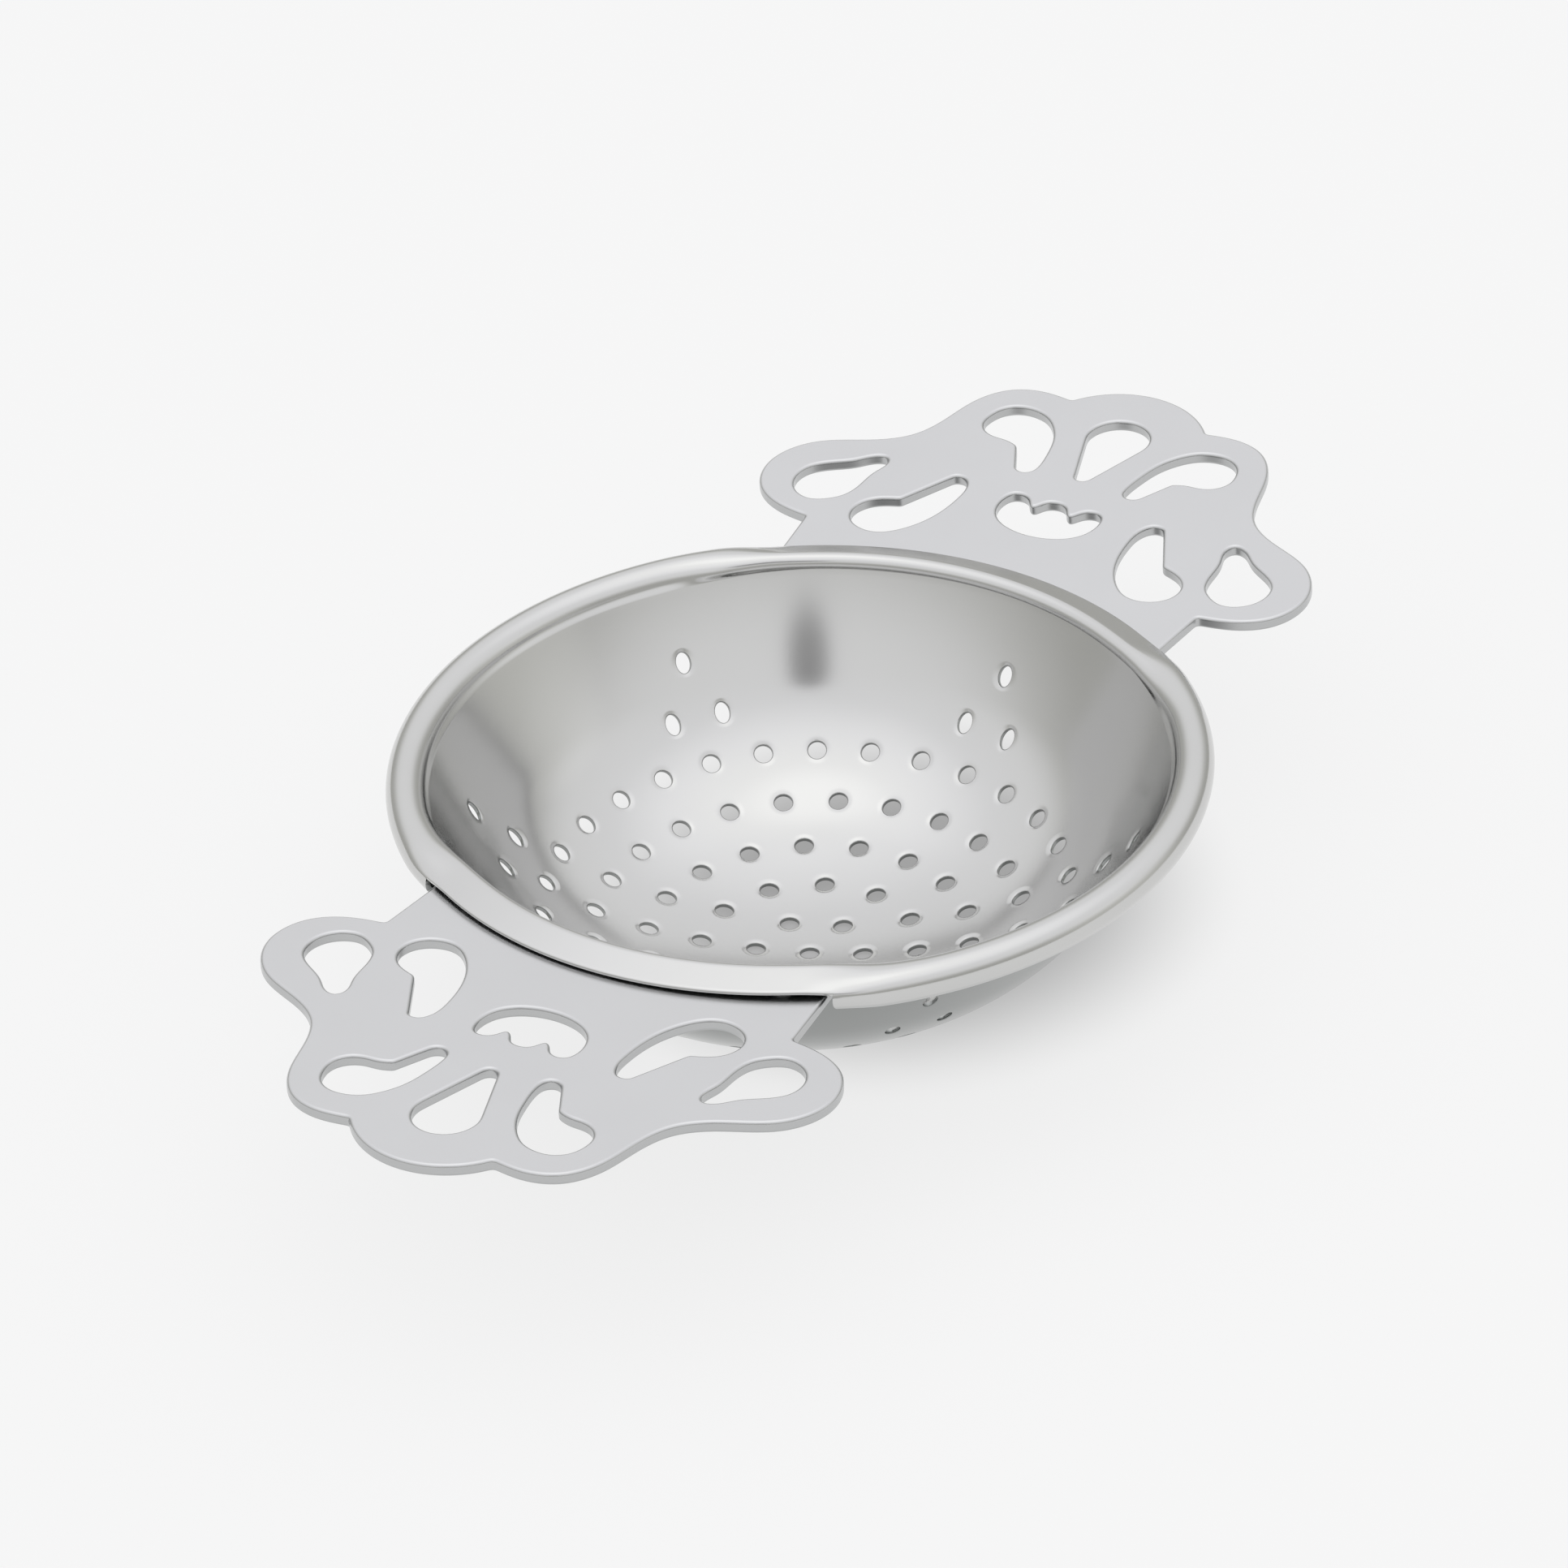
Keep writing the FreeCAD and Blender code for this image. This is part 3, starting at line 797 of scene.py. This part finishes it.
def make_camera():
    """The camera: aimed at a point above the origin, then rolled, with its picture shifted a little."""
    backward = Vector((math.sin(AZIMUTH) * math.cos(ELEVATION), -math.cos(AZIMUTH) * math.cos(ELEVATION),
                       math.sin(ELEVATION)))
    level_right = Vector((math.cos(AZIMUTH), math.sin(AZIMUTH), 0))
    level_up = backward.cross(level_right)
    right = level_right * math.cos(ROLL) + level_up * math.sin(ROLL)
    up = level_up * math.cos(ROLL) - level_right * math.sin(ROLL)
    data = bpy.data.cameras.new("camera")
    data.sensor_width = SENSOR
    data.lens = LENS
    data.shift_x, data.shift_y = SHIFT
    data.clip_start, data.clip_end = CLIP
    camera = bpy.data.objects.new("camera", data)
    camera.matrix_world = Matrix.Translation(backward * DISTANCE + Vector((0, 0, AIM_Z))) @ Matrix(
        (right, up, backward)).transposed().to_4x4()
    bpy.context.scene.collection.objects.link(camera)
    bpy.context.scene.camera = camera


make_camera()

# The floor glows, so that it reads as an even pale sweep. The glow fades in a soft round patch under
# the bowl, which deepens the shade seen through the holes. Sizes are in metres.
FLOOR_HALF = 3.0
FLOOR_TONE = 0.12
FLOOR_GLOW = 0.80
SHADE_GLOW = 0.34
SHADE_CENTRE = (0.012, -0.002, 0.0)
SHADE_RADII = (0.012, 0.034)     # from the patch's centre: where the glow starts to grow and is full


def make_floor():
    """A wide level sheet at height 0 that glows."""
    mesh = bpy.data.meshes.new("floor")
    corners = [(x * FLOOR_HALF, y * FLOOR_HALF, 0) for x, y in ((-1, -1), (1, -1), (1, 1), (-1, 1))]
    mesh.from_pydata(corners, [], [(0, 1, 2, 3)])
    floor = bpy.data.objects.new("floor", mesh)
    bpy.context.scene.collection.objects.link(floor)
    material = bpy.data.materials.new("floor")
    material.use_nodes = True
    nodes, links = material.node_tree.nodes, material.node_tree.links
    shader = nodes["Principled BSDF"]
    shader.inputs["Base Color"].default_value = (FLOOR_TONE, FLOOR_TONE, FLOOR_TONE, 1)
    shader.inputs["Roughness"].default_value = 1.0
    shader.inputs["Specular IOR Level"].default_value = 0.0
    shader.inputs["Emission Color"].default_value = (1, 1, 1, 1)
    place = nodes.new("ShaderNodeTexCoord")
    distance = nodes.new("ShaderNodeVectorMath")
    distance.operation = "DISTANCE"
    links.new(place.outputs["Object"], distance.inputs[0])
    distance.inputs[1].default_value = SHADE_CENTRE
    glow = nodes.new("ShaderNodeMapRange")
    glow.interpolation_type = "SMOOTHSTEP"
    glow.inputs["From Min"].default_value, glow.inputs["From Max"].default_value = SHADE_RADII
    glow.inputs["To Min"].default_value, glow.inputs["To Max"].default_value = SHADE_GLOW, FLOOR_GLOW
    links.new(distance.outputs["Value"], glow.inputs["Value"])
    links.new(glow.outputs["Result"], shader.inputs["Emission Strength"])
    floor.data.materials.append(material)


make_floor()

# The light is a dome. Each stop of a ramp is its place, its level, and its blue as a share of the
# level. SKY runs from the horizon, at 0, to straight above. SIDES multiplies it, from the side
# opposite LIGHT_SIDE, at 0, to LIGHT_SIDE. A spot multiplies the dome within a soft round border:
# elevation, azimuth, outer and inner radius in degrees, and its factor. One is a brighter soft box
# nearly overhead, the other a dark gap in the light.
SKY = ((0.0, 0.5, 0.95), (0.17, 0.53, 0.96), (0.31, 0.69, 0.98), (0.4, 0.86, 1.0), (0.485, 0.96, 1.01),
       (0.71, 1.01, 1.02), (0.87, 1.2, 1.02), (1.0, 1.32, 1.0))
LIGHT_SIDE = -60.0           # azimuth in degrees
SIDES = ((0.0, 1.0, 1.0), (0.93, 1.0, 1.0), (1.0, 1.35, 1.0))
SOFT_BOX = (86.0, 72.0, 18.0, 5.0, 1.1)
DARK_GAP = (33.5, -154.0, 8.5, 1.0, 0.3)


def sky_direction(elevation, azimuth):
    """Unit vector towards a place on the dome, given in degrees."""
    elevation, azimuth = math.radians(elevation), math.radians(azimuth)
    return (math.cos(elevation) * math.cos(azimuth), math.cos(elevation) * math.sin(azimuth),
            math.sin(elevation))


def make_world():
    """The dome of light, as the background of the world."""
    world = bpy.data.worlds.new("studio")
    world.use_nodes = True
    bpy.context.scene.world = world
    nodes, links = world.node_tree.nodes, world.node_tree.links
    place = nodes.new("ShaderNodeTexCoord")

    def ramp(source, stops):
        """The colour of a row of stops at a value from 0 to 1."""
        node = nodes.new("ShaderNodeValToRGB")
        for _ in stops[2:]:
            node.color_ramp.elements.new(0.5)
        for element, (position, level, blue) in zip(node.color_ramp.elements, stops):
            element.position = position
            element.color = (level, level, level * blue, 1)
        links.new(source, node.inputs["Fac"])
        return node.outputs["Color"]

    def along(direction):
        """How nearly a place on the dome lies in a direction: 1 there, -1 on the opposite side."""
        node = nodes.new("ShaderNodeVectorMath")
        node.operation = "DOT_PRODUCT"
        links.new(place.outputs["Generated"], node.inputs[0])
        node.inputs[1].default_value = direction
        return node.outputs["Value"]

    def ranged(source, start, end, low, high, smooth=True):
        """A value from start to end turned into one from low to high."""
        node = nodes.new("ShaderNodeMapRange")
        node.interpolation_type = "SMOOTHSTEP" if smooth else "LINEAR"
        for socket, value in zip(("From Min", "From Max", "To Min", "To Max"), (start, end, low, high)):
            node.inputs[socket].default_value = value
        links.new(source, node.inputs["Value"])
        return node.outputs["Result"]

    def product(first, second):
        """Two colours multiplied."""
        node = nodes.new("ShaderNodeVectorMath")
        node.operation = "MULTIPLY"
        links.new(first, node.inputs[0])
        links.new(second, node.inputs[1])
        return node.outputs["Vector"]

    light = ramp(along((0, 0, 1)), SKY)
    light = product(light, ramp(ranged(along(sky_direction(0, LIGHT_SIDE)), -1, 1, 0, 1, False), SIDES))
    for elevation, azimuth, outer, inner, level in (SOFT_BOX, DARK_GAP):
        spot = along(sky_direction(elevation, azimuth))
        light = product(light, ranged(spot, math.cos(math.radians(outer)), math.cos(math.radians(inner)),
                                      1, level))
    links.new(light, nodes["Background"].inputs["Color"])


make_world()
bpy.context.scene.view_settings.view_transform = "Standard"
